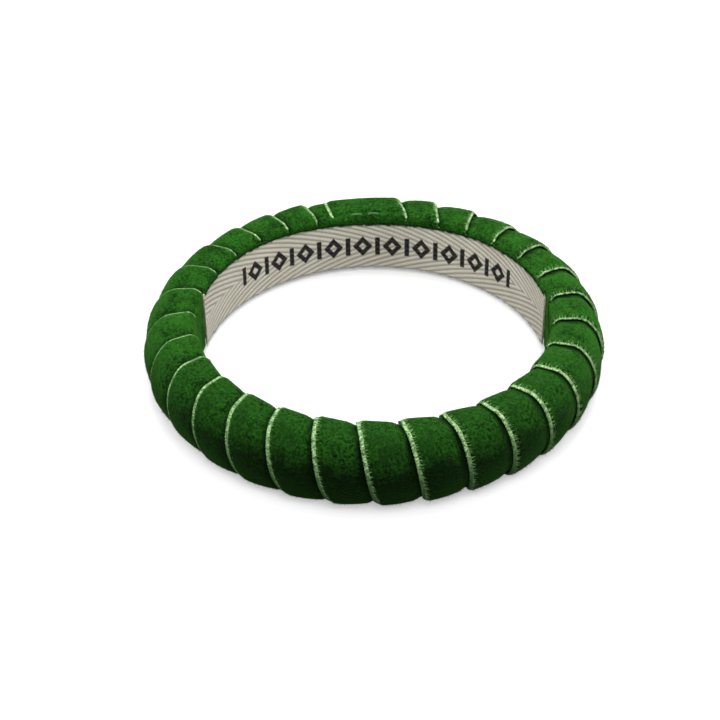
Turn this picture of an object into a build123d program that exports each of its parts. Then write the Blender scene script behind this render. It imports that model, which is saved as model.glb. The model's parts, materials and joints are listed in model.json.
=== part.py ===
from build123d import *
import os
from math import cos, pi, radians, sin

# Bangle bracelet wound with velvet ribbon, with a woven label round part of the inside.
# Millimetres and degrees.  +Z is the ring's axis, and Z = 0 is the surface it lies on.
# Azimuths run anticlockwise from +X seen from above.  +Y is the back of the ring, where
# the ribbon ends, and the label is centred there.

# ---- driving dimensions -------------------------------------------------------------
BORE_RADIUS = 32.5          # to the face of the label, the tightest part of the opening
VELVET_BORE_RADIUS = 32.75  # bare velvet wall, beside the label
OUTER_RADIUS = 42.9         # crown of the wound ring
HEIGHT = 14.2               # along the axis
RIBBON_BUILD = 1.3          # two layers of velvet between the bonding strip and the face
RIBBON_STEP = 0.5           # how far each turn's edge stands above the turn under it
STRIP_THICKNESS = 0.15      # double-sided bonding strip
LABEL_THICKNESS = 0.34
LABEL_WIDTH = 11.4
ADHESIVE_THICKNESS = 0.06

# ---- the wound section --------------------------------------------------------------
BED_CUT = 0.7               # the underside is pressed flat by this much where the ring rests
HALF_HEIGHT = (HEIGHT + BED_CUT) / 2
MID_HEIGHT = HEIGHT - HALF_HEIGHT
CROWN_ARC = 8.5             # radius of the domed outside
SHOULDER_ARC = 4.0          # radius where the dome turns onto the flat top and bottom
VELVET_CORNER = 2.0         # radius of the two corners beside the opening
BLANK_CORNER = 0.8          # the same on the bare blank
WALL_ALLOWANCE = 0.3        # the turns are made this much too thick, then bored to size
CROWN_CENTRE = OUTER_RADIUS - CROWN_ARC

# ---- the winding --------------------------------------------------------------------
TURNS = 29                  # full turns of ribbon, the last one lying on the first
FIRST_EDGE = 97.0           # azimuth of the first turn's edge, at the top of the bore wall
MEAN_PITCH = 12.15          # from one turn's edge to the next
HAND_DRIFT = ((1, -1.14, 1.77), (2, -1.31, 0.03), (3, -0.67, 0.20))  # order, sine, cosine
WINDING_TILT = 11.0         # lean of each turn from the axis, as the ribbon climbs on
TILT_LEAD = 2.1             # azimuth from the top of a turn's edge to its mid-height
LAST_TURN_ARC = 25.6        # the last turn shows its whole width
LAST_TURN_STEP = 0.15       # its far edge stands almost as high as its near one
STATION_ARC = 13.0          # about the widest step between two sections of a turn

# ---- the label and the stitches -----------------------------------------------------
LABEL_START = 9.4
LABEL_ARC = 160.0
LABEL_BOTTOM = 1.1
THREAD_DIAMETER = 0.45
STITCH_ARC = 3.5            # length of each stitch, as an angle at its radius
STITCH_RADIUS = 33.25
STITCH_PLACES = ((95.7, 13.65), (89.9, 13.75))  # azimuth, and height of the thread's top
STITCH_LEG = 1.0            # each stitch goes this far down into the ribbon

BLANK_INSET = RIBBON_BUILD + STRIP_THICKNESS
BLANK_WALL = VELVET_BORE_RADIUS + BLANK_INSET
UPRIGHT = Plane(origin=(0, 0, 0), x_dir=(1, 0, 0), z_dir=(0, -1, 0))


def section_outline(half_height, swell, wall, corner):
    """The wound section about mid-height, with its top, bottom and dome moved out by `swell`.

    It runs up the bore wall, round a corner, along the flat top, over the shoulder and
    down the domed outside, and comes back the same way below.  Shoulder and dome are arcs
    with one shared tangent, so the line through their two centres gives where they meet.
    """
    arc_gap = CROWN_ARC - SHOULDER_ARC
    rise = (half_height - SHOULDER_ARC) / arc_gap
    reach = (1 - rise**2) ** 0.5
    top = half_height + swell
    crown = CROWN_ARC + swell
    wall_end = (wall, top - corner)
    flat_start = (wall + corner, top)
    flat_end = (CROWN_CENTRE + arc_gap * reach, top)
    dome_start = (CROWN_CENTRE + crown * reach, crown * rise)
    upper = [
        TangentArc([wall_end, flat_start], tangent=(0, 1)),
        Line(flat_start, flat_end),
        TangentArc([flat_end, dome_start], tangent=(1, 0)),
    ]
    dome = ThreePointArc(
        dome_start, (CROWN_CENTRE + crown, 0), (dome_start[0], -dome_start[1])
    )
    bore_wall = Line((wall, corner - top), wall_end)
    lower = [edge.mirror(Plane.XZ) for edge in upper]
    return make_face([bore_wall, *upper, dome, *lower])


def leaning_section(azimuth, swell):
    """Section of the ribbon at an azimuth, leaning as the turns do."""
    lean = radians(WINDING_TILT)
    outward = Vector(cos(radians(azimuth)), sin(radians(azimuth)), 0)
    onward = Vector(-sin(radians(azimuth)), cos(radians(azimuth)), 0)
    facing = onward * -cos(lean) + Vector(0, 0, -sin(lean))
    plane = Plane(origin=(0, 0, MID_HEIGHT), x_dir=outward, z_dir=facing)
    wall = VELVET_BORE_RADIUS - WALL_ALLOWANCE
    return plane * section_outline(HALF_HEIGHT / cos(lean), swell, wall, VELVET_CORNER)


def band(inner, outer, bottom, top):
    """A plain band round the axis."""
    ring = Cylinder(outer, top - bottom) - Cylinder(inner, top - bottom)
    return Pos(0, 0, (bottom + top) / 2) * ring


def label_band(inner, outer):
    """A layer of the label: a stretch of a band round part of the bore."""
    middle = ((inner + outer) / 2, LABEL_BOTTOM + LABEL_WIDTH / 2)
    strip = UPRIGHT * (Pos(*middle) * Rectangle(outer - inner, LABEL_WIDTH))
    return Rot(0, 0, LABEL_START) * revolve(strip, Axis.Z, revolution_arc=LABEL_ARC)


def turn_edge(turn):
    """Azimuth of a turn's exposed edge at mid-height: a steady pitch, drifting by hand."""
    phase = 2 * pi * turn / TURNS
    drift = sum(s * sin(n * phase) + c * cos(n * phase) for n, s, c in HAND_DRIFT)
    return FIRST_EDGE + MEAN_PITCH * turn + drift + TILT_LEAD


def turn_stretches():
    """Where each turn shows: its first and last azimuth, and how far it slopes down."""
    edges = [turn_edge(turn) for turn in range(TURNS)]
    last_end = edges[-1] + LAST_TURN_ARC
    edges[0] = last_end - 360
    stretches = [(start, end, RIBBON_STEP) for start, end in zip(edges, edges[1:])]
    return stretches + [(edges[-1], last_end, LAST_TURN_STEP)]


def wound_loop(start, end, swell_start, swell_end, hollows):
    """Ribbon round the blank between two azimuths, as one closed loop."""
    steps = max(1, round((end - start) / STATION_ARC))
    shares = [step / steps for step in range(steps + 1)]
    stations = [
        leaning_section(
            start + (end - start) * share,
            swell_start + (swell_end - swell_start) * share,
        )
        for share in shares
    ]
    loop = loft(stations, ruled=True)
    for hollow in hollows:
        loop = loop - hollow
    return loop


def velvet_ribbon(hollows):
    """Each turn of the ribbon, highest at its own edge and lowest where the next one lies."""
    return [
        wound_loop(start, end, 0, -slope, hollows)
        for start, end, slope in turn_stretches()
    ]


def core_ring():
    """Moulded blank, flat inside and domed outside."""
    face = section_outline(HALF_HEIGHT, -BLANK_INSET, BLANK_WALL, BLANK_CORNER)
    plane = Plane(origin=(0, 0, MID_HEIGHT), x_dir=UPRIGHT.x_dir, z_dir=UPRIGHT.z_dir)
    return revolve(plane * face, Axis.Z)


def bonding_strip():
    """Double-sided strip round the blank's bore, which holds each turn where it passes."""
    half_width = HALF_HEIGHT - BLANK_INSET - BLANK_CORNER
    return band(
        BLANK_WALL - STRIP_THICKNESS,
        BLANK_WALL,
        MID_HEIGHT - half_width,
        MID_HEIGHT + half_width,
    )


def tack_stitch(azimuth, top):
    """One tack stitch: a straight thread on the pile with a leg down at each end."""
    half = STITCH_RADIUS * radians(STITCH_ARC) / 2
    path = FilletPolyline(
        (-half, 0, -STITCH_LEG),
        (-half, 0, 0),
        (half, 0, 0),
        (half, 0, -STITCH_LEG),
        radius=THREAD_DIAMETER,
    )
    start = Plane(origin=path @ 0, z_dir=path % 0)
    thread = sweep(start * Circle(THREAD_DIAMETER / 2), path)
    on_top = Pos(STITCH_RADIUS, 0, top - THREAD_DIAMETER / 2)
    return Rot(0, 0, azimuth) * on_top * Rot(0, 0, 90) * thread


def group(shapes):
    """Separate solids of one piece, kept together."""
    return Compound(children=[solid for shape in shapes for solid in shape.solids()])


def build():
    """Every piece of the bracelet, by name."""
    core = core_ring()
    strip = bonding_strip()
    stitches = [tack_stitch(azimuth, top) for azimuth, top in STITCH_PLACES]
    label_back = BORE_RADIUS + LABEL_THICKNESS
    pocket_wall = label_back + ADHESIVE_THICKNESS
    bore = Cylinder(VELVET_BORE_RADIUS, HEIGHT * 4)
    pocket = label_band(BORE_RADIUS, pocket_wall)
    bed = Pos(0, 0, -HEIGHT) * Cylinder(OUTER_RADIUS * 2, HEIGHT * 2)
    hollows = [core, strip, bore, pocket, bed]
    return {
        "core_ring": core,
        "bonding_strip": strip,
        "velvet_ribbon": group(velvet_ribbon([*hollows, *stitches])),
        "end_tack_stitches": group(stitches),
        "twill_label": label_band(BORE_RADIUS, label_back),
        "label_adhesive": label_band(label_back, pocket_wall),
    }


if __name__ == "__main__":
    os.makedirs("parts", exist_ok=True)
    for name, shape in build().items():
        export_step(shape, f"parts/{name}.step")
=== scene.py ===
# %% [markdown]
# # A velvet-wound bangle, made cell by cell
# The real thing is a moulded ring with one long velvet ribbon wound round it, and a
# cotton tape label glued over the ribbon's two ends inside.  The frame already holds the
# ring, the glue and plain solids for the soft pieces.  Here every soft piece is made
# again as what it is: one helix of ribbon, its woven edges, its pile, and a herringbone
# tape.  All of them are surfaces worked out with numpy, because a winding is a formula.

# %% Load the frame
import json
import math

import bpy
import numpy as np
from mathutils import Matrix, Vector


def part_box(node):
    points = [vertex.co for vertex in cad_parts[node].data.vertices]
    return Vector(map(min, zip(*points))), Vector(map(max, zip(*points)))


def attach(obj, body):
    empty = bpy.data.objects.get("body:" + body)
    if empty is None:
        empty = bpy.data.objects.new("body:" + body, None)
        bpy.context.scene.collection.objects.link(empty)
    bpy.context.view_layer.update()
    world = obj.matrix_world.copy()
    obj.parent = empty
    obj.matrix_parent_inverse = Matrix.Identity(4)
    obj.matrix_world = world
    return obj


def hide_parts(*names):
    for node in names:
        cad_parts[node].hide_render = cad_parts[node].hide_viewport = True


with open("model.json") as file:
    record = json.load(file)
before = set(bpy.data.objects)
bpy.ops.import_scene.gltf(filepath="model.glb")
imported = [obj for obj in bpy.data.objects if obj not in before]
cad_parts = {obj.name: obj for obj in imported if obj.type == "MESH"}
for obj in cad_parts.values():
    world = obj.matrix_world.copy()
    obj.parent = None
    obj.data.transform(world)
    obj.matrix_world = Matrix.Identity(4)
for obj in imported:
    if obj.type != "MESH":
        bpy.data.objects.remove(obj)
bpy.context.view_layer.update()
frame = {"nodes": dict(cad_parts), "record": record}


# %% [markdown]
# The frame's boxes give most sizes that everything else follows from.  The rest are the
# ribbon's, which are the same as in the CAD source.  Work is done in millimetres, which
# suit jewellery, and turned into metres when a mesh is made.

# %% Sizes from the frame
MM = 0.001
core_low, core_high = (np.array(c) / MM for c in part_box("core_ring"))
ribbon_high = np.array(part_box("velvet_ribbon")[1]) / MM
label_low, label_high = (np.array(c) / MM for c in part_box("twill_label"))
bore_mount = next(m for m in frame["record"]["mounts"] if m["name"] == "wrist_bore")

BORE_RADIUS = bore_mount["dims"]["r_mm"]
MID_HEIGHT = (core_low[2] + core_high[2]) / 2
RIBBON_WIDTH = 16.0
RIBBON_BUILD = 1.3  # velvet between the base and the outside, at a turn's edge
TURNS = 29
STRIP_THICKNESS = 0.15
LABEL_THICKNESS = 0.34
VELVET_WALL = BORE_RADIUS + 0.25  # the bare velvet, beside the label
BASE_WALL = VELVET_WALL + RIBBON_BUILD  # the base is what the ribbon is wound on
BASE_TOP = ribbon_high[2] - MID_HEIGHT - RIBBON_BUILD
BASE_CROWN = core_high[0] + STRIP_THICKNESS
BASE_CORNER = 0.7
DOME_ARC = 7.2
SHOULDER_ARC = 2.7
print(f"mid-height {MID_HEIGHT:.2f} mm, crown of the base {BASE_CROWN:.2f} mm")

# %% [markdown]
# ## The camera, the floor and the light
# The view looks down at the ring by about 36 degrees, from 31 cm away.  A softbox above
# and behind gives velvet its bright upper faces, and the near face stays dark, darkened
# further by painted shade.

# %% Camera
VIEW_DOWN = math.radians(35.9)
VIEW_DISTANCE = 312.5 * MM
VIEW_ROLL = math.radians(-0.39)
LENS = 83.3
SENSOR = 36
SHIFT = (-0.01944, -0.03125)  # as a share of the frame's side
NEAR_CLIP = 0.01

centre = np.array([0, 0, MID_HEIGHT * MM])
forward = np.array([0, math.cos(VIEW_DOWN), -math.sin(VIEW_DOWN)])
level_right = np.array([1.0, 0, 0])
level_up = np.cross(level_right, forward)
camera_right = level_right * math.cos(VIEW_ROLL) + level_up * math.sin(VIEW_ROLL)
camera_up = level_up * math.cos(VIEW_ROLL) - level_right * math.sin(VIEW_ROLL)
camera_data = bpy.data.cameras.new("camera")
camera_data.lens = LENS
camera_data.sensor_width = SENSOR
camera_data.shift_x, camera_data.shift_y = SHIFT
camera_data.clip_start = NEAR_CLIP
camera = bpy.data.objects.new("camera", camera_data)
stand = np.eye(4)
stand[:3] = np.stack(
    [camera_right, camera_up, -forward, centre - forward * VIEW_DISTANCE], 1
)
camera.matrix_world = Matrix(stand.tolist())
bpy.context.scene.collection.objects.link(camera)
bpy.context.scene.camera = camera
bpy.context.scene.view_settings.view_transform = "Standard"
print("camera at", np.round(stand[:3, 3], 3).tolist())

# %% Lights and floor
LIGHTS = [
    # name, place, power in watts, side in metres
    ("softbox_above", (0.04, 0.26, 0.62), 4.0, 0.45),
    ("softbox_front", (0.0, -0.34, 0.58), 3.2, 0.4),
    ("softbox_left", (-0.55, 0.05, 0.40), 1.7, 0.4),
    ("softbox_right", (0.55, 0.05, 0.40), 1.9, 0.4),
]
ROOM_LIGHT = 0.26


def aimed(place, target):
    """A matrix that stands at place and looks at target down its own -Z."""
    back = np.array(place, float) - target
    back /= np.linalg.norm(back)
    right = np.cross([0.0, 0.0, 1.0], back)
    right /= np.linalg.norm(right)
    out = np.eye(4)
    out[:3] = np.stack([right, np.cross(back, right), back, place], 1)
    return Matrix(out.tolist())


for name, place, power, side in LIGHTS:
    light = bpy.data.lights.new(name, "AREA")
    light.energy = power
    light.size = side
    lamp = bpy.data.objects.new(name, light)
    lamp.matrix_world = aimed(place, centre)
    bpy.context.scene.collection.objects.link(lamp)

world = bpy.data.worlds.new("studio")
world.use_nodes = True
world.node_tree.nodes["Background"].inputs["Color"].default_value = (1, 1, 1, 1)
world.node_tree.nodes["Background"].inputs["Strength"].default_value = ROOM_LIGHT
bpy.context.scene.world = world
print(len(LIGHTS), "softboxes and a white room")

# %% [markdown]
# ## Helpers: from arrays to a mesh
# The ribbon, its edges and the label are grids of points.  A grid's faces never change
# with its shape, so one function makes them for all.  A closed tube is a grid whose
# columns join up, with a fan over each end, and its volume tells whether its faces point
# outwards.

# %% Mesh helpers
def loop_quads(rows, columns):
    """Faces of a grid whose rows are loops: each point with its neighbours on and along."""
    i = np.arange(rows - 1)[:, None] * columns
    j = np.arange(columns)[None, :]
    k = (j + 1) % columns
    return np.stack([i + j, i + k, i + columns + k, i + columns + j], -1).reshape(-1, 4)


def closed_tube(rings):
    """Points and faces of a tube through rings of points, with a fan over each end."""
    rows, columns, _ = rings.shape
    points = np.vstack([rings.reshape(-1, 3), rings[0].mean(0), rings[-1].mean(0)])
    j = np.arange(columns)
    k = (j + 1) % columns
    first = np.full(columns, rows * columns)
    start_fan = np.stack([k, j, first], -1)
    end_fan = np.stack([j + (rows - 1) * columns, k + (rows - 1) * columns, first + 1], -1)
    return points, loop_quads(rows, columns), np.vstack([start_fan, end_fan])


def outward(points, quads, triangles):
    """The same faces, turned round if the closed shape they make has a negative volume.

    Six times the volume is the sum, over triangles, of one corner dotted with the cross
    product of the other two.
    """
    a, b, c, d = (points[quads[:, n]] for n in range(4))
    volume = (a * np.cross(b, c)).sum() + (a * np.cross(c, d)).sum()
    a, b, c = (points[triangles[:, n]] for n in range(3))
    volume += (a * np.cross(b, c)).sum()
    if volume < 0:
        return quads[:, ::-1], triangles[:, ::-1]
    return quads, triangles


NO_QUADS = np.zeros((0, 4), int)


def make_piece(name, points_mm, quads, triangles, material, uv=None, masks=None):
    """A smooth mesh object from arrays, with its UV map and masks given point by point."""
    mesh = bpy.data.meshes.new(name)
    corners = np.concatenate([quads.ravel(), triangles.ravel()]).astype(np.int32)
    sizes = np.concatenate([np.full(len(quads), 4), np.full(len(triangles), 3)])
    starts = np.concatenate([[0], np.cumsum(sizes)[:-1]]).astype(np.int32)
    mesh.vertices.add(len(points_mm))
    mesh.vertices.foreach_set("co", (points_mm * MM).astype(np.float32).ravel())
    mesh.loops.add(len(corners))
    mesh.loops.foreach_set("vertex_index", corners)
    mesh.polygons.add(len(sizes))
    mesh.polygons.foreach_set("loop_start", starts)
    mesh.update(calc_edges=True)
    mesh.polygons.foreach_set("use_smooth", np.ones(len(sizes), bool))
    if uv is not None:
        layer = mesh.uv_layers.new(name="UVMap")
        layer.uv.foreach_set("vector", uv[corners].astype(np.float32).ravel())
    for mask_name, values in (masks or {}).items():
        attribute = mesh.attributes.new(mask_name, "FLOAT", "POINT")
        attribute.data.foreach_set("value", values.astype(np.float32).ravel())
    mesh.materials.append(material)
    piece = bpy.data.objects.new(name, mesh)
    bpy.context.scene.collection.objects.link(piece)
    print(f"{name}: {len(points_mm)} points, {2 * len(quads) + len(triangles)} triangles")
    return piece


def smooth_step(x):
    """0 below 0, 1 above 1, and an S-curve between: 3x^2 - 2x^3."""
    x = np.clip(x, 0, 1)
    return x * x * (3 - 2 * x)


# %% Floor
FLOOR_REACH = 3.0  # metres from the middle to each side
floor_mesh = bpy.data.meshes.new("floor")
square = ((-1, -1), (1, -1), (1, 1), (-1, 1))
corners = [(x * FLOOR_REACH, y * FLOOR_REACH, 0) for x, y in square]
floor_mesh.from_pydata(corners, [], [(0, 1, 2, 3)])
floor = bpy.data.objects.new("floor", floor_mesh)
bpy.context.scene.collection.objects.link(floor)

# %% [markdown]
# ## Finishes
# Two effects are used by more than one material, so each is a node group: cloudy shade
# and thread ribs.  The groups give only masks and heights; each material mixes its own
# colours with them and keeps its own shader.

# %% Node helpers
def new_group(name, inputs, outputs):
    """A shader node group with float inputs (name: default) and named outputs."""
    group = bpy.data.node_groups.new(name, "ShaderNodeTree")
    for label, value in inputs.items():
        kind = "NodeSocketVector" if value is None else "NodeSocketFloat"
        socket = group.interface.new_socket(label, in_out="INPUT", socket_type=kind)
        if value is not None:
            socket.default_value = value
    for label in outputs:
        group.interface.new_socket(label, in_out="OUTPUT", socket_type="NodeSocketFloat")
    return group, group.nodes.new("NodeGroupInput"), group.nodes.new("NodeGroupOutput")


def math_node(tree, operation, first, second=0.5):
    """One Math node; each input is a socket to link or a number."""
    node = tree.nodes.new("ShaderNodeMath")
    node.operation = operation
    for socket, value in zip(node.inputs, (first, second)):
        if isinstance(value, bpy.types.NodeSocket):
            tree.links.new(value, socket)
        else:
            socket.default_value = value
    return node.outputs[0]


NOISE_DETAIL, NOISE_ROUGHNESS = 3.0, 0.55


def noise_node(tree, vector, scale):
    """Noise from 0 to 1 on a vector; scale is a socket or a number."""
    node = tree.nodes.new("ShaderNodeTexNoise")
    node.inputs["Detail"].default_value = NOISE_DETAIL
    node.inputs["Roughness"].default_value = NOISE_ROUGHNESS
    tree.links.new(vector, node.inputs["Vector"])
    if isinstance(scale, bpy.types.NodeSocket):
        tree.links.new(scale, node.inputs["Scale"])
    else:
        node.inputs["Scale"].default_value = scale
    return node.outputs["Fac"]


# %% Effect groups
GRAIN_SHARE = 0.6  # fine noise counts this much beside the broad one


def cloudy_shade():
    """Soft patches over fine grain: broad noise and fine noise added, pushed apart.

    Each noise is 0.5 in the mean, so half of 1 + GRAIN_SHARE is taken off before the
    contrast, and 0.5 is added after it.
    """
    group, given, result = new_group(
        "cloudy_shade",
        {"Vector": None, "Patch Scale": 200.0, "Grain Scale": 1500.0, "Contrast": 2.0},
        ["Shade"],
    )
    broad = noise_node(group, given.outputs["Vector"], given.outputs["Patch Scale"])
    fine = noise_node(group, given.outputs["Vector"], given.outputs["Grain Scale"])
    both = math_node(group, "ADD", broad, math_node(group, "MULTIPLY", fine, GRAIN_SHARE))
    centred = math_node(group, "SUBTRACT", both, (1 + GRAIN_SHARE) / 2)
    spread = math_node(group, "MULTIPLY", centred, given.outputs["Contrast"])
    shade = group.nodes.new("ShaderNodeClamp")
    group.links.new(math_node(group, "ADD", spread, 0.5), shade.inputs["Value"])
    group.links.new(shade.outputs[0], result.inputs["Shade"])
    return group


def thread_ribs():
    """Slanting ribs across a band: a sine of the distance along it plus a slant across."""
    group, given, result = new_group(
        "thread_ribs", {"Vector": None, "Rib Pitch": 0.5, "Slant": 1.0}, ["Rib"]
    )
    split = group.nodes.new("ShaderNodeSeparateXYZ")
    group.links.new(given.outputs["Vector"], split.inputs[0])
    slanted = math_node(group, "MULTIPLY", split.outputs["Y"], given.outputs["Slant"])
    along = math_node(group, "ADD", split.outputs["X"], slanted)
    ribs = math_node(group, "DIVIDE", along, given.outputs["Rib Pitch"])
    wave = math_node(group, "SINE", math_node(group, "MULTIPLY", ribs, 2 * math.pi))
    lifted = math_node(group, "MULTIPLY", math_node(group, "ADD", wave, 1.0), 0.5)
    group.links.new(lifted, result.inputs["Rib"])
    return group


CLOUDY = cloudy_shade()
RIBS = thread_ribs()


# %% Material helpers
def new_material(name):
    """A material with its node tree and its Principled shader."""
    material = bpy.data.materials.new(name)
    material.use_nodes = True
    return material, material.node_tree, material.node_tree.nodes["Principled BSDF"]


def coordinates(tree, kind="Object"):
    """The object's own coordinates in metres, or its UV map in millimetres of cloth."""
    return tree.nodes.new("ShaderNodeTexCoord").outputs[kind]


def effect(tree, group, vector, values):
    """One effect group placed in a material, with its numbers set."""
    node = tree.nodes.new("ShaderNodeGroup")
    node.node_tree = group
    tree.links.new(vector, node.inputs["Vector"])
    for label, value in values.items():
        node.inputs[label].default_value = value
    return node.outputs[0]


def cloudy(tree, vector, patch, grain, contrast):
    """The cloudy shade in a material, with its two scales and its contrast."""
    values = {"Patch Scale": patch, "Grain Scale": grain, "Contrast": contrast}
    return effect(tree, CLOUDY, vector, values)


def mask_of(tree, name):
    """A mask that the mesh carries."""
    node = tree.nodes.new("ShaderNodeAttribute")
    node.attribute_name = name
    return node.outputs["Fac"]


# A Mix node has sockets of the same name for each kind of data; these are the colour's.
MIX_AMOUNT, MIX_FIRST, MIX_SECOND, MIX_RESULT = 0, 6, 7, 2


def mixed(tree, amount, first, second):
    """Two colours mixed by a socket from 0 to 1; a colour is a socket or three numbers."""
    node = tree.nodes.new("ShaderNodeMix")
    node.data_type = "RGBA"
    tree.links.new(amount, node.inputs[MIX_AMOUNT])
    for number, value in ((MIX_FIRST, first), (MIX_SECOND, second)):
        if isinstance(value, bpy.types.NodeSocket):
            tree.links.new(value, node.inputs[number])
        else:
            node.inputs[number].default_value = (*value, 1)
    return node.outputs[MIX_RESULT]


def weighted(tree, amount, weight):
    """A socket times a number."""
    return math_node(tree, "MULTIPLY", amount, weight)


def finished(tree, shader, colour, levels):
    """Link the base colour and set the shader's other sockets, which are even all over."""
    tree.links.new(colour, shader.inputs["Base Color"])
    for label, value in levels.items():
        shader.inputs[label].default_value = value


def bumped(tree, shader, height, strength, distance_mm):
    """A Bump node from a height to the shader's normal."""
    node = tree.nodes.new("ShaderNodeBump")
    node.inputs["Strength"].default_value = strength
    node.inputs["Distance"].default_value = distance_mm * MM
    tree.links.new(height, node.inputs["Height"])
    tree.links.new(node.outputs[0], shader.inputs["Normal"])


# %% [markdown]
# Velvet is a dense brush of fibres.  Seen end-on it is almost black, and where it curves
# away the fibres catch the light.  The shader's sheen does that; the base colour stays
# dark, with painted shade in patches low on the ring's outside and towards -Y.  The loose
# fibres use a brighter copy, a painted highlight.

# %% Velvet
DEEP_GREEN = (0.0006, 0.0060, 0.0004)  # between the fibres
LIT_GREEN = (0.0190, 0.107, 0.0080)  # on the fibres' tips
SHADED_DEEP_GREEN = (0.0002, 0.0008, 0.0002)  # the same two, darkened as painted shade
SHADED_LIT_GREEN = (0.0022, 0.0120, 0.0016)
# Painted shade, where the pile goes in under the next turn's edge.
SEAM_SHADE = (0.0001, 0.0006, 0.0001)
PATCH_SHARE, STREAK_SHARE, GRAIN_WEIGHT, GRAIN_OFFSET = 0.45, 0.20, 0.52, 0.15
STREAK_STRETCH = (2.6, 0.9, 1.0)  # long across the ribbon, short along it
RAGGED, RAGGED_START, RAGGED_SLOPE = 0.5, 0.2, 1.6


def patchy_mask(tree, mask, shade):
    """A mask whose soft border is broken up by a shade and then made steeper."""
    ragged = weighted(tree, math_node(tree, "SUBTRACT", shade, 0.5), RAGGED)
    uneven = math_node(tree, "ADD", mask, ragged)
    steep = weighted(tree, math_node(tree, "SUBTRACT", uneven, RAGGED_START), RAGGED_SLOPE)
    clamp = tree.nodes.new("ShaderNodeClamp")
    tree.links.new(steep, clamp.inputs["Value"])
    return clamp.outputs[0]


def velvet_material(name, lift):
    """Green velvet; lift brightens it as a painted highlight for loose fibres, which stand
    out of the dark pile.

    Three shades are mixed: broad patches, streaks in the fibre, and a fine speckle.
    Two masks then darken it with painted shade: low on the ring's outside and towards -Y,
    and beside a seam, under the next turn's edge.
    """
    material, tree, shader = new_material(name)
    place = coordinates(tree)
    shade = cloudy(tree, place, 240.0, 1300.0, 3.4)
    speckle = cloudy(tree, place, 2100.0, 4600.0, 5.5)
    stretch = tree.nodes.new("ShaderNodeMapping")
    stretch.inputs["Scale"].default_value = STREAK_STRETCH
    tree.links.new(coordinates(tree, "UV"), stretch.inputs["Vector"])
    streaks = cloudy(tree, stretch.outputs[0], 0.6, 2.2, 3.0)
    patches = weighted(tree, shade, PATCH_SHARE)
    soft = math_node(tree, "ADD", patches, weighted(tree, streaks, STREAK_SHARE))
    grain = weighted(tree, math_node(tree, "SUBTRACT", speckle, GRAIN_OFFSET), GRAIN_WEIGHT)
    blended = math_node(tree, "ADD", soft, grain)
    # lift above 1 is a painted highlight on the loose fibres.
    deep, lit = ([lift * value for value in colour] for colour in (DEEP_GREEN, LIT_GREEN))
    upright = mixed(tree, blended, deep, lit)
    # Painted shade: a darker copy of the green, used low on the ring's outside and towards
    # -Y.
    turned = mixed(tree, blended, SHADED_DEEP_GREEN, SHADED_LIT_GREEN)
    painted_shade = patchy_mask(tree, mask_of(tree, "painted_shade"), shade)
    green = mixed(tree, painted_shade, upright, turned)
    green = mixed(tree, mask_of(tree, "shaded"), green, SEAM_SHADE)
    finished(tree, shader, green, {
        "Roughness": 0.9,
        "Specular IOR Level": 0.05,
        "Sheen Weight": 0.32,
        "Sheen Roughness": 0.45,
        "Sheen Tint": (0.13, 0.50, 0.07, 1),
    })
    bumped(tree, shader, blended, 0.45, 0.2)
    return material


VELVET = velvet_material("green_velvet_pile", 1.0)
# The loose fibres are a brighter copy of the velvet: painted highlight.
HIGHLIT_FIBRE = velvet_material("green_velvet_fibre_highlit", 1.8)


# %% Woven edge, cotton, thread and the hidden materials
EDGE_RIB_PITCH = 0.5  # millimetres along the woven edge, from one thread to the next


def selvedge_material():
    """The ribbon's woven edge: pale green threads slanting across a narrow band."""
    material, tree, shader = new_material("woven_selvedge")
    cloth = coordinates(tree, "UV")
    rib = effect(tree, RIBS, cloth, {"Rib Pitch": EDGE_RIB_PITCH, "Slant": 0.5})
    shade = cloudy(tree, coordinates(tree), 1500.0, 3600.0, 5.0)
    thread = mixed(tree, shade, (0.03, 0.13, 0.02), (0.46, 0.68, 0.31))
    between = weighted(tree, math_node(tree, "SUBTRACT", 1.0, rib), 0.45)
    woven = mixed(tree, between, thread, (0.04, 0.14, 0.03))
    # Painted shade: the woven edge is darkened low on the ring's outside and towards -Y.
    dim = weighted(tree, mask_of(tree, "painted_shade"), 0.85)
    woven = mixed(tree, dim, woven, (0.02, 0.08, 0.012))
    levels = {"Roughness": 0.75, "Sheen Weight": 0.15, "Sheen Tint": (0.35, 0.75, 0.25, 1)}
    finished(tree, shader, woven, levels)
    bumped(tree, shader, rib, 0.6, 0.12)
    return material


def twill_material():
    """Unbleached cotton tape: cream yarn, painted shade in the gaps between ribs, and a
    black printed border.
    """
    material, tree, shader = new_material("cotton_herringbone")
    place = coordinates(tree)
    shade = cloudy(tree, place, 120.0, 2200.0, 1.4)
    yarn = mixed(tree, shade, (0.72, 0.69, 0.57), (0.93, 0.90, 0.79))
    # Painted shade: the gaps between the ribs are darkened to brown.
    cloth = mixed(tree, mask_of(tree, "groove_shade"), yarn, (0.25, 0.215, 0.150))
    printed = mixed(tree, mask_of(tree, "ink"), cloth, (0.010, 0.009, 0.011))
    finished(tree, shader, printed, {"Roughness": 0.95, "Specular IOR Level": 0.15})
    bumped(tree, shader, noise_node(tree, place, 3000.0), 0.4, 0.08)
    return material


def thread_material(name, dark, light):
    """Spun thread: two tones in fine slanting stripes."""
    material, tree, shader = new_material(name)
    place = coordinates(tree)
    rib = effect(tree, RIBS, place, {"Rib Pitch": 0.0004, "Slant": 1.0})
    shade = cloudy(tree, place, 600.0, 3000.0, 1.5)
    stripes = mixed(tree, rib, dark, light)
    levels = {"Roughness": 0.8, "Specular IOR Level": 0.2}
    finished(tree, shader, mixed(tree, shade, stripes, light), levels)
    bumped(tree, shader, rib, 0.4, 0.05)
    return material


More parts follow.
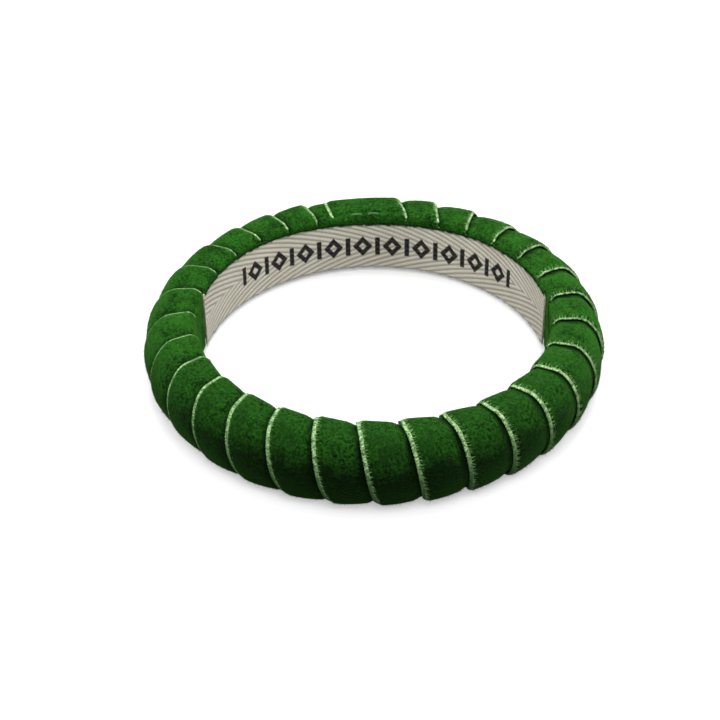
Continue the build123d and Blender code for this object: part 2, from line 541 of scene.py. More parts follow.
def moulded_material(name, dark, light, roughness, patch):
    """Moulded plastic, film or glue: faint flow marks and a fine mottled skin."""
    material, tree, shader = new_material(name)
    shade = cloudy(tree, coordinates(tree), patch, 1200.0, 1.0)
    finished(tree, shader, mixed(tree, shade, dark, light), {"Roughness": roughness})
    bumped(tree, shader, shade, 0.15, 0.05)
    return material


def floor_material():
    """Pale paper, lit a little from behind, which throws little light up at the ring."""
    material, tree, shader = new_material("pale_floor")
    shade = cloudy(tree, coordinates(tree), 2.0, 60.0, 0.3)
    paper = mixed(tree, shade, (0.60, 0.60, 0.60), (0.64, 0.64, 0.64))
    seen = tree.nodes.new("ShaderNodeLightPath").outputs["Is Camera Ray"]
    colour = mixed(tree, seen, (0.08, 0.08, 0.08), paper)
    finished(tree, shader, colour, {"Roughness": 0.8, "Emission Strength": 1.0})
    glow = mixed(tree, seen, (0.0, 0.0, 0.0), (0.40, 0.40, 0.40))
    tree.links.new(glow, shader.inputs["Emission Color"])
    return material


SELVEDGE = selvedge_material()
TWILL = twill_material()
LASH = thread_material("selvedge_lash", (0.10, 0.26, 0.06), (0.32, 0.54, 0.22))
COTTON_YARN = thread_material("cotton_yarn", (0.42, 0.38, 0.30), (0.66, 0.62, 0.53))
MOULDED = {
    # CAD node: name of the material, dark tone, light tone, roughness, patches a metre
    "core_ring": ("blank_plastic", (0.55, 0.51, 0.43), (0.62, 0.58, 0.50), 0.45, 90.0),
    "bonding_strip": ("bonding_film", (0.70, 0.69, 0.62), (0.78, 0.77, 0.71), 0.35, 150.0),
    "label_adhesive": ("textile_glue", (0.66, 0.63, 0.52), (0.74, 0.71, 0.61), 0.5, 260.0),
}
CAD_FINISHES = {node: moulded_material(*values) for node, values in MOULDED.items()}
CAD_FINISHES["end_tack_stitches"] = thread_material(
    "tack_thread", (0.025, 0.08, 0.02), (0.08, 0.18, 0.06)
)
floor_mesh.materials.append(floor_material())


for node, material in CAD_FINISHES.items():
    data = frame["nodes"][node].data
    data.materials.clear()
    data.materials.append(material)
print("materials:", len(bpy.data.materials))

# %% [markdown]
# ## The winding
# Where the ribbon lies is two questions.  First, the outline of the section: a straight
# bore wall, a small corner, a flat top, a shoulder arc and a domed outside.  It is kept
# as a table of points with the direction they face, by share of the way round, so any
# height above the blank is one step along that direction.

# %% The section of the blank
def section_table(lift, steps=60):
    """Base points and facing angles round the section, by share of the way round.

    The arcs' centres are worked out as for the blank: shoulder and dome share a tangent.
    The way round is measured `lift` above the base, where the ribbon's middle lies.
    """
    gap = DOME_ARC - SHOULDER_ARC
    dome_centre = BASE_CROWN - DOME_ARC
    rise = (BASE_TOP - SHOULDER_ARC) / gap
    lean = math.asin(rise)
    shoulder_centre = dome_centre + gap * math.cos(lean)
    corner = (BASE_WALL + BASE_CORNER, BASE_TOP - BASE_CORNER)
    t = np.linspace(0, 1, steps)

    def line(start, end, facing):
        return np.stack(
            [start[0] + (end[0] - start[0]) * t, start[1] + (end[1] - start[1]) * t,
             np.full(steps, facing)], -1,
        )

    def arc(middle, radius, start, end):
        a = start + (end - start) * t
        return np.stack(
            [middle[0] + radius * np.cos(a), middle[1] + radius * np.sin(a), a], -1
        )

    upper = np.vstack([
        line((BASE_WALL, 0), (BASE_WALL, corner[1]), math.pi),
        arc(corner, BASE_CORNER, math.pi, math.pi / 2),
        line((corner[0], BASE_TOP), (shoulder_centre, BASE_TOP), math.pi / 2),
        arc((shoulder_centre, BASE_TOP - SHOULDER_ARC), SHOULDER_ARC, math.pi / 2, lean),
        arc((dome_centre, 0), DOME_ARC, lean, 0),
    ])
    lower = upper[::-1] * [1, -1, -1]
    table = np.vstack([upper, lower[1:]])
    lifted = table[:, :2] + lift * np.stack([np.cos(table[:, 2]), np.sin(table[:, 2])], -1)
    steps_mm = np.linalg.norm(np.diff(lifted, axis=0), axis=1)
    way = np.concatenate([[0], np.cumsum(steps_mm)])
    return way / way[-1], table, way[-1]


SHARE, OUTLINE, WAY_ROUND = section_table(RIBBON_BUILD / 2)
print(f"once round the section: {WAY_ROUND:.1f} mm")


def on_section(share, height):
    """Radius and height above mid-height of a point at a share of the way round."""
    r = np.interp(share, SHARE, OUTLINE[:, 0])
    z = np.interp(share, SHARE, OUTLINE[:, 1])
    facing = np.interp(share, SHARE, OUTLINE[:, 2])
    return r + height * np.cos(facing), z + height * np.sin(facing)


# %% [markdown]
# Second, where along the ring each turn's edge lies.  Turns are about 12 degrees apart,
# with the slow drift of a hand winding, kept as three sine and cosine pairs.  Between
# two turns the ribbon climbs on steadily, a little less on one side of the ring than on
# the other, as the winder's pull changes.

# %% Where the turns lie
FIRST_EDGE = 97.0
MEAN_PITCH = 12.15
HAND_DRIFT = ((1, -1.14, 1.77), (2, -1.31, 0.03), (3, -0.67, 0.20))
EDGE_SHARE = 0.2  # the azimuths above are those at the top of the bore wall
LEAN_MEAN, LEAN_SWING, LEAN_SIDE = 2.85, 4.45, 32.6
LAST_SWEEP = 3.4  # the last turns are pulled round the other way
SWEEP_TURNS, SWEEP_REST = 3.3, 0.35
MEAN_RADIUS = 38.0  # of the line through the middle of the ring's section


def edge_azimuth(u):
    """Azimuth in radians of the ribbon's exposed edge, u turns along the ribbon."""
    k = u - EDGE_SHARE
    phase = 2 * np.pi * k / TURNS
    drift = sum(s * np.sin(n * phase) + c * np.cos(n * phase) for n, s, c in HAND_DRIFT)
    azimuth = FIRST_EDGE + MEAN_PITCH * k + drift
    lean = LEAN_MEAN + LEAN_SWING * np.cos(np.radians(azimuth - LEAN_SIDE))
    azimuth -= lean * (1 - np.cos(2 * np.pi * k)) / 2
    late = smooth_step(u - TURNS + SWEEP_TURNS)
    azimuth += LAST_SWEEP * late * (np.sin(2 * np.pi * k) - SWEEP_REST)
    return np.radians(azimuth)


def hand_wobble(azimuth, share, pitch_mm):
    """Smooth unevenness from -1 to 1: three sines at odd angles to each other."""
    around = azimuth * MEAN_RADIUS / pitch_mm
    across = share * WAY_ROUND / pitch_mm
    return (
        np.sin(around * 2.1 + across * 1.3 + 0.7)
        + np.sin(around * 1.3 - across * 2.3 + 2.1)
        + np.sin(around * 3.1 + across * 2.9 + 4.4)
    ) / 3


LABEL_BACK = BORE_RADIUS + LABEL_THICKNESS
LABEL_START = math.acos(label_high[0] / LABEL_BACK)
LABEL_END = math.pi - math.acos(-label_low[0] / LABEL_BACK)
label_angles = np.degrees([LABEL_START, LABEL_END])
print("label between azimuths", np.round(label_angles, 1).tolist())

# %% How high the ribbon stands
BRIDGE_SLOPE = 0.12  # the last turn falls by only this share of its height
BORE_SLOPE = 0.10  # and so does each turn on the bore wall
BORE_SHARE, BORE_FADE = 0.160, 0.022  # the bore wall ends at this share, and fades out
PILLOW = 0.16  # each turn is fuller between its edge and the next
NEXT_PRESS = 0.42  # each turn's edge presses down the pile that it lies on
RIGHT_EASE = 0.6  # towards +X it does so by this share less
WOBBLE, WOBBLE_PITCH = 0.06, 9.0
LABEL_PRESS = 0.24  # the label presses the bore wall down
LABEL_FADE = 1 / 30  # radians, at each end of the label
HEM_PRESS = 0.75  # the lower corner is drawn in behind the label's bottom edge
HEM_SHARES, HEM_FADE = (0.76, 0.94), 0.05
LIP_HEIGHT = 1.66  # the pile stands proud of the label's face over its top edge
LIP_SLOPE = 0.12
LIP_LOW, LIP_HIGH, LIP_FADE = 0.143, 0.150, 0.022
LIP_DROP = 0.026  # at the back it comes this much further down, as a share


def lip_start(azimuth):
    """Share of the way round where the pile closes over the label, lowest at the back."""
    return LIP_LOW - LIP_DROP * np.clip(np.sin(azimuth), 0, 1) ** 6


def on_last_turn(u):
    """1 on the last turn; the change lies on the bore wall, behind the label."""
    return smooth_step((u - (TURNS - 1.15)) / 0.22)


def on_right(azimuth):
    """1 towards +X, falling to 0 at the back and towards -Y."""
    return smooth_step(np.cos(azimuth) / 0.8)


def in_bore(share, end=BORE_SHARE, fade=BORE_FADE):
    """1 on the bore wall, where the turns are pressed level with each other."""
    return smooth_step((end - np.minimum(share, 1 - share)) / fade)


def between(x, low, high, fade):
    """1 between two values, falling to 0 at each over `fade`."""
    return smooth_step((x - low) / fade) * smooth_step((high - x) / fade)


def pitch_at(u, share):
    """Millimetres from a turn's edge to the next one's, at a share of the way round."""
    radius = np.interp(share, SHARE, OUTLINE[:, 0])
    return (edge_azimuth(u + 1) - edge_azimuth(u)) * radius


def ribbon_height(u, v, azimuth, share):
    """Height of the ribbon's top above the base, u turns along and v mm across it.

    Each turn lies on the one before, so it falls evenly from its exposed edge to nothing
    at the other.  The first turn lies flat, and the last one bridges it.  On the bore
    wall the turns are level, and the label presses them down.  Its bottom edge holds the
    corner in, and over its top edge the pile closes in a lip.
    """
    pitch = pitch_at(u, share)
    way = v / pitch          # 1 where the next turn's edge lies
    last = on_last_turn(u)
    even = RIBBON_BUILD * (1 - v / RIBBON_WIDTH)
    first = smooth_step((1.15 - u) / 0.3)
    flat = np.minimum(even, RIBBON_BUILD * pitch / RIBBON_WIDTH)
    bridge = RIBBON_BUILD * (1 - BRIDGE_SLOPE * v / RIBBON_WIDTH)
    height = even + (flat - even) * first + (bridge - even) * last

    covered = smooth_step((way - 0.80) / 0.2) * (1 - last)
    press = NEXT_PRESS * (1 - RIGHT_EASE * on_right(azimuth)) * covered
    pillow = PILLOW * np.sin(np.pi * np.clip(way, 0, 1)) * (1 - last) - press
    height = height + pillow + WOBBLE * hand_wobble(azimuth, share, WOBBLE_PITCH)

    shows = 1 - smooth_step((way - 1.06) / 0.12) * (1 - last)
    bare = in_bore(share) * shows
    level = RIBBON_BUILD * (1 - BORE_SLOPE * np.minimum(way, 1))
    height = height + np.maximum(level - height, 0) * bare

    half_fade = LABEL_FADE / 2
    labelled = between(azimuth, LABEL_START - half_fade, LABEL_END + half_fade, LABEL_FADE)
    lip = smooth_step((share - lip_start(azimuth)) / 0.008 + 1)
    lip *= smooth_step((LIP_HIGH + LIP_FADE - share) / LIP_FADE)
    lip *= labelled * shows
    wall = in_bore(share, 0.15, 0.04)
    hem = between(share, *HEM_SHARES, HEM_FADE)
    height = height - (LABEL_PRESS * wall * (1 - lip) + HEM_PRESS * hem) * labelled
    closed = LIP_HEIGHT - LIP_SLOPE * np.minimum(way, 1)
    return height + np.maximum(closed - height, 0) * lip


def on_ribbon(u, v, sink=0.0):
    """Points of the ribbon's top surface in millimetres, `sink` below it.

    u counts turns along the ribbon and v is the distance across it from its exposed edge.
    """
    share = np.mod(u, 1.0)
    radius = on_section(share, RIBBON_BUILD / 2)[0]
    azimuth = edge_azimuth(u) + v / radius
    round_once = np.mod(azimuth, 2 * np.pi)
    height = np.maximum(ribbon_height(u, v, round_once, share) - sink, 0.02)
    r, z = on_section(share, height)
    z = np.maximum(z + MID_HEIGHT, 0.0)
    return np.stack([r * np.cos(azimuth), r * np.sin(azimuth), z], -1)


# %% [markdown]
# ## The ribbon
# One strip, 29 turns long.  Its section is a flat loop: a top that rounds up from the
# woven edge, and a back close under it.  Points crowd towards the exposed edge, because
# the rest of the width lies hidden under the next turn.

# %% Velvet ribbon
SELVEDGE_WIDTH = 0.9
PILE_EDGE = 0.5  # the pile starts this far in from the ribbon's edge
PILE_ROUND = 0.9  # and has risen to its full height this much further in
BACK_DEPTH = 0.5
BACK_INSET = 1.0  # the back is this much narrower at each side
WALL_SHARPEN = 0.85  # on the bore wall the rim is less round by this share
ROWS_A_TURN, TOP_COUNT, BACK_COUNT = 96, 20, 4


def pile_drop(v):
    """How far the pile's rounded rim falls below its top: a quarter circle at each edge."""
    near = np.clip((v - PILE_EDGE) / PILE_ROUND, 0, 1)
    far = np.clip((RIBBON_WIDTH - PILE_EDGE - v) / PILE_ROUND, 0, 1)
    return BACK_DEPTH * (2 - np.sqrt(near * (2 - near)) - np.sqrt(far * (2 - far)))


def ribbon_loops():
    """Ring after ring of the ribbon's section, as u and v, with the depth below its top."""
    x = np.linspace(0, 1, TOP_COUNT)
    crowded = 0.75 * x**1.7 + 0.25 * x
    across = PILE_EDGE + (RIBBON_WIDTH - 2 * PILE_EDGE) * crowded
    back = np.linspace(RIBBON_WIDTH - BACK_INSET, BACK_INSET, BACK_COUNT)
    v = np.concatenate([across, back])
    sink = np.concatenate([pile_drop(across), np.full(BACK_COUNT, BACK_DEPTH)])
    u = np.linspace(0.0, TURNS, TURNS * ROWS_A_TURN)[:, None]
    on_top = np.concatenate([np.ones(TOP_COUNT), np.zeros(BACK_COUNT)])
    sink = sink * (1 - WALL_SHARPEN * in_bore(np.mod(u, 1.0)) * on_top)
    return np.broadcast_arrays(u, v[None, :], sink)


# Painted shade on the velvet: darker low on the ring's outside, most towards -Y.
PAINTED_SHADE_BELOW, PAINTED_SHADE_FALL = 6.5, 7.5  # height above the middle, and how far it fades
PAINTED_SHADE_RADIUS, PAINTED_SHADE_OUT = 36.5, 5.0  # the same, going outwards
PAINTED_SHADE_SIDES, PAINTED_SHADE_TOP = 0.62, 0.36  # how dark: low at the sides, and on top at -Y


def painted_outer_shade(points):
    """Painted shade on the velvet: how much it is darkened, low on the ring's outside.

    Towards -Y it is darkened the most, and a little of that is left on top.
    """
    radius = np.hypot(points[..., 0], points[..., 1])
    low = smooth_step((MID_HEIGHT + PAINTED_SHADE_BELOW - points[..., 2]) / PAINTED_SHADE_FALL)
    outside = smooth_step((radius - PAINTED_SHADE_RADIUS) / PAINTED_SHADE_OUT) * low
    near = smooth_step((-points[..., 1] / radius - 0.1) / 0.7)
    low_down = PAINTED_SHADE_SIDES + (1 - PAINTED_SHADE_SIDES) * near
    return outside * low_down + PAINTED_SHADE_TOP * near * (1 - outside)


SHADE_START, SHADE_END = 0.86, 0.98  # shares of the pitch
SHADE_EASE = 0.07  # towards +X it starts this much later


def under_next(u, v):
    """1 where the pile goes in under the next turn's edge, and so lies in its shade."""
    share = np.mod(u, 1.0)
    start = SHADE_START + SHADE_EASE * on_right(edge_azimuth(u))
    shade = smooth_step((v / pitch_at(u, share) - start) / (SHADE_END - start))
    return shade * (1 - on_last_turn(u)) * (1 - in_bore(share))


def build_ribbon():
    """The whole ribbon as one closed strip."""
    u, v, sink = ribbon_loops()
    rings = on_ribbon(u, v, sink)
    points, quads, triangles = closed_tube(rings)
    quads, triangles = outward(points, quads, triangles)
    uv = np.stack([u * WAY_ROUND, v], -1).reshape(-1, 2)
    uv = np.vstack([uv, uv[:1], uv[-1:]])
    shaded = np.concatenate([under_next(u, v).ravel(), [1.0, 1.0]])
    # Two painted shade masks: low on the ring's outside, and under the next turn's edge.
    masks = {"painted_shade": painted_outer_shade(points), "shaded": shaded}
    return make_piece("wound_velvet_ribbon", points, quads, triangles, VELVET, uv, masks)


ribbon = build_ribbon()

# %% [markdown]
# The woven edge is a narrow cord-like band.  Its threads slant across it, so the tube's
# radius rises and falls along a slanting phase.  Only the ribbon's last loop also shows
# its other edge, where it lies over the first one.

# %% Woven edges
EDGE_SINK = 0.40
EDGE_THICKNESS = 0.34
WALL_SINK = 0.55  # on the bore wall the pile beside it lies over the edge
EDGE_BARE, BARE_NEAR, BARE_BACK = 0.56, 0.44, 0.16  # shares of its width that show
BARE_LESS = 0.45  # in the bore and under the ring this share less shows
EDGE_SWELL = 0.30
EDGE_ROWS_A_TURN, EDGE_CORNERS = 260, 8
FAR_EDGE_TURNS = 1.1  # the other edge is only made for the last loop


def edge_shows(u):
    """Share of the woven edge that the pile leaves bare: most at -Y, least in the bore."""
    azimuth = edge_azimuth(u)
    near = smooth_step((-np.sin(azimuth) - 0.15) / 0.6)
    back = smooth_step((np.sin(azimuth) - 0.6) / 0.3)
    share = np.mod(u, 1.0)
    hidden = np.maximum(in_bore(share), between(share, 0.60, 0.95, 0.08))
    return (EDGE_BARE + BARE_NEAR * near + BARE_BACK * back) * (1 - BARE_LESS * hidden)


def edge_rings(u, side):
    """Rings of the woven edge: a flat oval with a slanting rib, on one side of the ribbon.

    The rib's phase grows along the edge and round the oval, and wanders a little.
    """
    turn = np.linspace(0, 2 * np.pi, EDGE_CORNERS + 1)[:-1][None, :]
    along = u[:, None] * WAY_ROUND
    wander = 0.8 * np.sin(along / 1.7) + 0.6 * np.sin(along / 0.73 + 1.0)
    rib = 0.5 + 0.5 * np.cos(2 * np.pi * along / EDGE_RIB_PITCH + turn + wander)
    swell = 1 + EDGE_SWELL * (rib - 0.5)
    width = SELVEDGE_WIDTH * edge_shows(u)[:, None]
    across = 0.5 * width * np.cos(turn) * swell
    inset = 0.95 * SELVEDGE_WIDTH - 0.5 * width
    centre_v = inset if side == "near" else RIBBON_WIDTH - inset
    on_wall = in_bore(np.mod(u, 1.0)[:, None])
    sink = EDGE_SINK + WALL_SINK * on_wall - 0.5 * EDGE_THICKNESS * np.sin(turn) * swell
    v = centre_v + across
    rings = on_ribbon(np.broadcast_to(u[:, None], v.shape), v, sink)
    uv = np.stack(np.broadcast_arrays(along, v), -1)
    return rings, uv.reshape(-1, 2)


def build_edges():
    """Both woven edges as one piece: the exposed one, and the last loop's other one."""
    parts = []
    for start, side in ((0.0, "near"), (TURNS - FAR_EDGE_TURNS, "far")):
        u = np.linspace(start, TURNS, round((TURNS - start) * EDGE_ROWS_A_TURN) + 1)
        rings, uv = edge_rings(u, side)
        points, quads, triangles = closed_tube(rings)
        quads, triangles = outward(points, quads, triangles)
        offset = sum(len(part[0]) for part in parts)
        uv = np.vstack([uv, uv[:1], uv[-1:]])
        parts.append((points, quads + offset, triangles + offset, uv))
    points, quads, triangles, uv = (np.vstack(arrays) for arrays in zip(*parts))
    # The painted shade mask, made steeper for the woven edge.
    masks = {"painted_shade": painted_outer_shade(points) ** 2}
    return make_piece("ribbon_selvedges", points, quads, triangles, SELVEDGE, uv, masks)


selvedges = build_edges()

# %% [markdown]
# ## Loose fibres
# Velvet never has a clean outline: single fibres stand out of the pile, and the woven
# edge sheds a fringe of pale lashes.  Each fibre is a slim four-sided point with four
# triangles, placed by a seeded random draw, so it is the same every time.

# %% Fibres
PILE_COUNT, OVERHANG_COUNT = 46000, 5200
LASH_SPACING = 0.30
FIBRE_REACH = 10.0  # fibres stand on the ribbon up to this far from its edge


def fibre_spikes(roots, tips, width):
    """Closed slim points from roots to tips: three corners round the root and one tip."""
    along = tips - roots
    along /= np.linalg.norm(along, axis=1, keepdims=True)
    side = np.cross(along, [0.31, 0.47, 0.83])
    side /= np.linalg.norm(side, axis=1, keepdims=True)
    other = np.cross(along, side)
    corners = [
        roots + width[:, None] * (math.cos(a) * side + math.sin(a) * other)
        for a in (0, 2 * math.pi / 3, 4 * math.pi / 3)
    ]
    points = np.stack([*corners, tips], 1).reshape(-1, 3)
    base = np.arange(len(roots))[:, None] * 4
    faces = np.array([[0, 2, 1], [0, 1, 3], [1, 2, 3], [2, 0, 3]])
    return points, (base[:, :, None] + faces[None]).reshape(-1, 3)


def surface_normals(u, v):
    """Points of the ribbon and the way it faces there: across two small steps on it.

    The sign is the one that points away from the middle line of the ring's section.
    """
    here = on_ribbon(u, v)
    along = on_ribbon(u + 0.004, v) - here
    across = on_ribbon(u, v + 0.15) - here
    normal = np.cross(along, across)
    normal /= np.linalg.norm(normal, axis=1, keepdims=True)
    radius = np.hypot(here[:, 0], here[:, 1])[:, None]
    middle = np.pad(here[:, :2] / radius * MEAN_RADIUS, ((0, 0), (0, 1)))
    middle[:, 2] = MID_HEIGHT
    facing = ((here - middle) * normal).sum(1, keepdims=True)
    return here, normal * np.sign(facing)


def build_pile(count):
    """Short fibres all over the part of the ribbon that shows, swept a little aside."""
    rng = np.random.default_rng(29)
    u = rng.uniform(0.0, TURNS, count)
    v = rng.uniform(PILE_EDGE + 0.3, FIBRE_REACH, count)
    here, normal = surface_normals(u, v)
    sweep = rng.normal(0, 0.5, (count, 3))
    length = rng.uniform(0.10, 0.30, count)[:, None]
    tips = here + (normal + sweep) * length
    points, faces = fibre_spikes(here - normal * 0.08, tips, np.full(count, 0.04))
    points[:, 2] = np.maximum(points[:, 2], 0.0)
    uv = np.repeat(np.stack([u * WAY_ROUND, v], -1), 4, axis=0)
    # Two painted shade masks: low on the ring's outside, and under the next turn's edge.
    masks = {"painted_shade": painted_outer_shade(points), "shaded": np.repeat(under_next(u, v), 4)}
    return make_piece("velvet_pile_fibres", points, NO_QUADS, faces, HIGHLIT_FIBRE, uv, masks)


def build_overhang(count):
    """Pile that hangs over the label's top edge in uneven tufts, lowest at the back."""
    rng = np.random.default_rng(17)
    azimuth = rng.uniform(LABEL_START + 0.01, LABEL_END - 0.01, count)
    edge_z = MID_HEIGHT + lip_start(azimuth) * WAY_ROUND
    root_z = edge_z + rng.uniform(0.25, 0.6, count)
    tuft = 0.30 + 0.32 * np.sin(azimuth * 170 + 2 * np.sin(azimuth * 61))
    direction = np.stack([np.cos(azimuth), np.sin(azimuth)], -1)
    roots = np.column_stack([direction * (BORE_RADIUS - 0.02), root_z])
    tip_azimuth = azimuth + rng.normal(0, 0.008, count)
    tip_radius = BORE_RADIUS - rng.uniform(0.05, 0.2, count)
    tips = np.column_stack([
        tip_radius * np.cos(tip_azimuth),
        tip_radius * np.sin(tip_azimuth),
        edge_z + 0.15 - rng.uniform(0.0, 1.0, count) * tuft,
    ])
    points, faces = fibre_spikes(roots, tips, np.full(count, 0.06))
    along = np.repeat(azimuth * BORE_RADIUS, 4)
    uv = np.stack([along, np.full(len(along), 2.0)], -1)
    # The hanging tufts are darkened evenly by both painted shade masks.
    masks = {"painted_shade": np.full(len(along), 0.45), "shaded": np.full(len(along), 0.25)}
    return make_piece("pile_over_label", points, NO_QUADS, faces, HIGHLIT_FIBRE, uv, masks)


def build_lashes(spacing):
    """Pale threads that run from the woven edge up into the pile's rounded rim."""
    rng = np.random.default_rng(7)
    count = round(TURNS * WAY_ROUND / spacing)
    u = np.linspace(0.01, TURNS - 0.01, count) + rng.uniform(-0.006, 0.006, count)
    reach = rng.gamma(5.0, 0.10, count) * (1.7 - edge_shows(u))
    root_v = np.full(count, 0.6 * SELVEDGE_WIDTH)
    tip_v = SELVEDGE_WIDTH + reach
    roots = on_ribbon(u, root_v, 0.22)
    tip_sink = -0.11 + 0.4 * in_bore(np.mod(u, 1.0))
    tips = on_ribbon(u + rng.normal(0, 0.004, count), tip_v, tip_sink)
    points, faces = fibre_spikes(roots, tips, rng.uniform(0.035, 0.07, count))
    points[:, 2] = np.maximum(points[:, 2], 0.0)
    return make_piece("selvedge_lashes", points, NO_QUADS, faces, LASH)


pile = build_pile(PILE_COUNT)
lashes = build_lashes(LASH_SPACING)
overhang = build_overhang(OVERHANG_COUNT)

# %% [markdown]
# ## The label
# A herringbone tape, cut straight across at both ends.  The weave's ribs slant
# towards a middle line and turn back there.  The relief is the depth of each rib, so it
# is worked out on a grid a tenth of a millimetre fine, with the same numbers giving the
# painted shade in the gaps between ribs.  The print is a plain border of diamonds and bars.

# %% Herringbone tape
RIB_PITCH = 1.08
RIB_SLOPE = 0.36
YARN_PITCH = 0.45
HALF_WIDTH = (label_high[2] - label_low[2]) / 2
LABEL_MID = (label_high[2] + label_low[2]) / 2
LABEL_LENGTH = (LABEL_END - LABEL_START) * BORE_RADIUS
PRINT_HEIGHT = 4.8
PRINT_LENGTH = 60.0
PRINT_RISE = 0.3
PRINT_SAG = 0.9  # the printed line hangs this much lower at its middle
MOTIF_PITCH = 6.0
DIAMOND_REACH = 2.0
STROKE = 1.0
RIB_DEPTH = 0.13
RIM_DEPTH, RIM_WIDTH = 0.16, 0.3  # the woven edge is rounded over
SCALLOP = 0.07  # and swells at every yarn
TUCK_DEPTH = 0.3  # under the pile the tape lies this much deeper
TUCK_START, TUCK_FADE = 0.15, 0.3
LABEL_ROWS, FACE_COUNT, LABEL_BACK_COUNT = 850, 97, 5


def herringbone(x, z):
    """Rib height, and painted shade in the gaps, at x mm along and z mm above the middle of
    the tape.

    The phase grows along the tape and away from the middle line, so ribs meet there in
    arrowheads.  Yarns crossing the ribs bead them at a finer pitch.
    """
    phase = (np.abs(z) + x * RIB_SLOPE) / RIB_PITCH
    rib = 0.5 - 0.5 * np.cos(2 * np.pi * phase)
    step = np.floor(phase)
    bead = 0.5 + 0.5 * np.cos(2 * np.pi * (x / YARN_PITCH + 0.5 * step))
    # The gaps' darkness is painted shade, deepest where the rib is lowest and between
    # yarns.
    gap = (1 - rib) ** 1.6 * (0.30 + 0.70 * bead)
    return np.sqrt(rib) * 0.75 + 0.25 * bead, np.maximum(gap, 0.22 * (1 - bead))


def soft_edge(distance):
    """1 inside a shape and 0 outside, with a slight blur; distance is positive inside."""
    return smooth_step(0.5 + distance / 0.16)


def border_print(x, z):
    """Ink of a plain border: thick diamond outlines with a bar between each two."""
    z = z - PRINT_RISE + PRINT_SAG * (1 - (2 * x / PRINT_LENGTH) ** 2)
    inside = np.minimum((PRINT_LENGTH + STROKE) / 2 - np.abs(x), 1.0)
    cell = np.mod(x + PRINT_LENGTH / 2, MOTIF_PITCH) - MOTIF_PITCH / 2
    half = PRINT_HEIGHT / 2
    diamond = (1 - np.abs(cell) / DIAMOND_REACH - np.abs(z) / half) * DIAMOND_REACH * 0.8
    outline = np.minimum(diamond, STROKE - diamond)
    bar_side = np.abs(np.abs(cell) - MOTIF_PITCH / 2)
    bar = np.minimum(STROKE / 2 - bar_side, half - 0.3 - np.abs(z))
    return soft_edge(np.minimum(np.maximum(outline, bar), inside))


def label_point(x, z, depth):
    """A point of the tape x mm along, z above its middle, and depth behind its face."""
    azimuth = LABEL_END - x / BORE_RADIUS
    r = BORE_RADIUS + depth
    return np.stack([r * np.cos(azimuth), r * np.sin(azimuth), LABEL_MID + z], -1)


def tuck_under_pile(x, z):
    """How much deeper the tape lies where the pile closes over its top edge."""
    edge_z = MID_HEIGHT + lip_start(LABEL_END - x / BORE_RADIUS) * WAY_ROUND
    return TUCK_DEPTH * smooth_step((LABEL_MID + z - edge_z - TUCK_START) / TUCK_FADE)


def face_mask(values):
    """A mask of the face's points, with nothing on the back and in the two end fans."""
    rows = np.pad(values, ((0, 0), (0, LABEL_BACK_COUNT)))
    return np.concatenate([rows.ravel(), [0, 0]])


def build_label():
    """The tape as a closed strip: the woven face, and a plain back behind it."""
    x = np.linspace(0, LABEL_LENGTH, LABEL_ROWS)[:, None]
    face_z = np.linspace(-1, 1, FACE_COUNT)[None, :]
    half = HALF_WIDTH - SCALLOP + SCALLOP * np.cos(2 * np.pi * x / YARN_PITCH)
    z = face_z * half
    rib, gap = herringbone(x, z)
    rim = np.clip((1 - np.abs(face_z)) * HALF_WIDTH / RIM_WIDTH, 0, 1)
    rim_drop = RIM_DEPTH * (1 - np.sqrt(rim * (2 - rim)))
    depth = tuck_under_pile(x, z) + RIB_DEPTH * (1 - rib) + rim_drop
    face = label_point(np.broadcast_to(x, z.shape), z, depth)
    back_z = np.linspace(0.985, -0.985, LABEL_BACK_COUNT)[None, :] * half
    back_depth = LABEL_THICKNESS + tuck_under_pile(x, back_z)
    back = label_point(np.broadcast_to(x, back_z.shape), back_z, back_depth)
    points, quads, triangles = closed_tube(np.concatenate([face, back], 1))
    quads, triangles = outward(points, quads, triangles)
    ink = border_print(x - LABEL_LENGTH / 2 - 0.5, z) * (1 - 0.12 * gap)
    masks = {"groove_shade": face_mask(gap), "ink": face_mask(ink)}
    return make_piece("herringbone_label", points, quads, triangles, TWILL, None, masks)


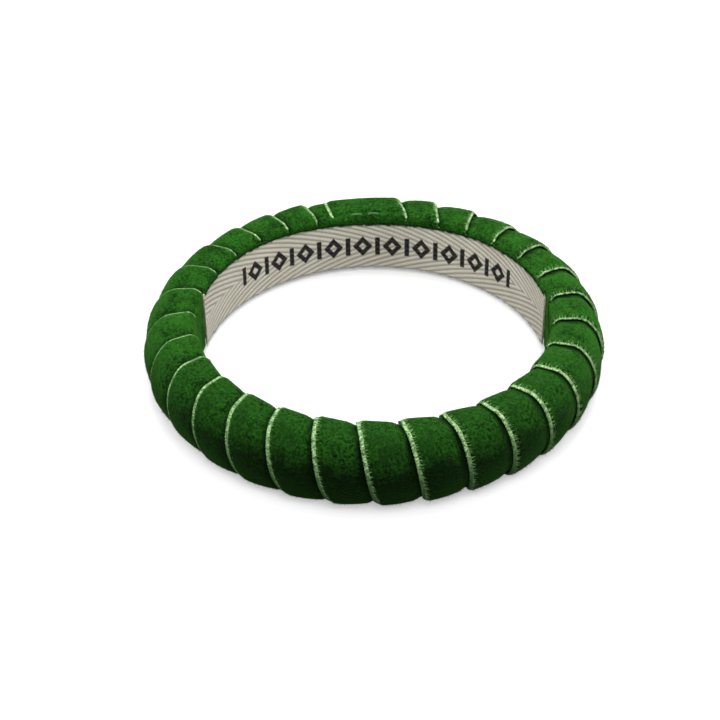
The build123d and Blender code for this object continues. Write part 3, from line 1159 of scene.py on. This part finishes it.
label = build_label()
print(f"label {LABEL_LENGTH:.1f} mm long, {2 * HALF_WIDTH:.1f} mm wide")

# %% [markdown]
# The tape's cut ends fray into single yarns, and its lower edge is hairy.  The upper one
# lies under the pile.  Both are short fibres again, in cotton.

# %% Cotton fibres
ENDS, HAIRS = 180, 1000  # frayed yarns at both cut ends, and hairs on the lower edge


def build_cotton_fibres(ends, hairs):
    """The tape's frayed ends and its hairy lower edge."""
    rng = np.random.default_rng(12)
    z_end = rng.uniform(-HALF_WIDTH, HALF_WIDTH, ends)
    at_end = np.repeat([0.0, LABEL_LENGTH], ends // 2)
    out = np.repeat([-1.0, 1.0], ends // 2)
    reach = rng.uniform(0.15, 0.7, ends)
    end_roots = label_point(at_end - out * 0.3, z_end, np.full(ends, 0.15))
    end_tips = label_point(
        at_end + out * reach,
        z_end + rng.normal(0, 0.15, ends),
        rng.uniform(-0.1, 0.2, ends),
    )
    x = rng.uniform(0, LABEL_LENGTH, hairs)
    z = np.full(hairs, 0.15 - HALF_WIDTH)
    hair_roots = label_point(x, z, np.full(hairs, 0.18))
    hair_tips = label_point(
        x + rng.normal(0, 0.25, hairs),
        z - rng.uniform(0.2, 0.5, hairs),
        rng.uniform(-0.05, 0.25, hairs),
    )
    roots, tips = np.vstack([end_roots, hair_roots]), np.vstack([end_tips, hair_tips])
    width = np.concatenate([np.full(ends, 0.13), np.full(hairs, 0.075)])
    points, faces = fibre_spikes(roots, tips, width)
    return make_piece("cotton_fibres", points, NO_QUADS, faces, COTTON_YARN)


cotton_fibres = build_cotton_fibres(ENDS, HAIRS)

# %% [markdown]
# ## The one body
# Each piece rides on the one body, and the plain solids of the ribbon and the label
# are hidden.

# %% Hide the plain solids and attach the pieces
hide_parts("velvet_ribbon")
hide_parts("twill_label")
SLOTS = {
    ribbon: "green_velvet",
    selvedges: "green_velvet",
    pile: "green_velvet",
    overhang: "green_velvet",
    lashes: "green_velvet",
    label: "cotton_twill",
    cotton_fibres: "cotton_twill",
}
for piece, slot in SLOTS.items():
    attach(piece, "root")
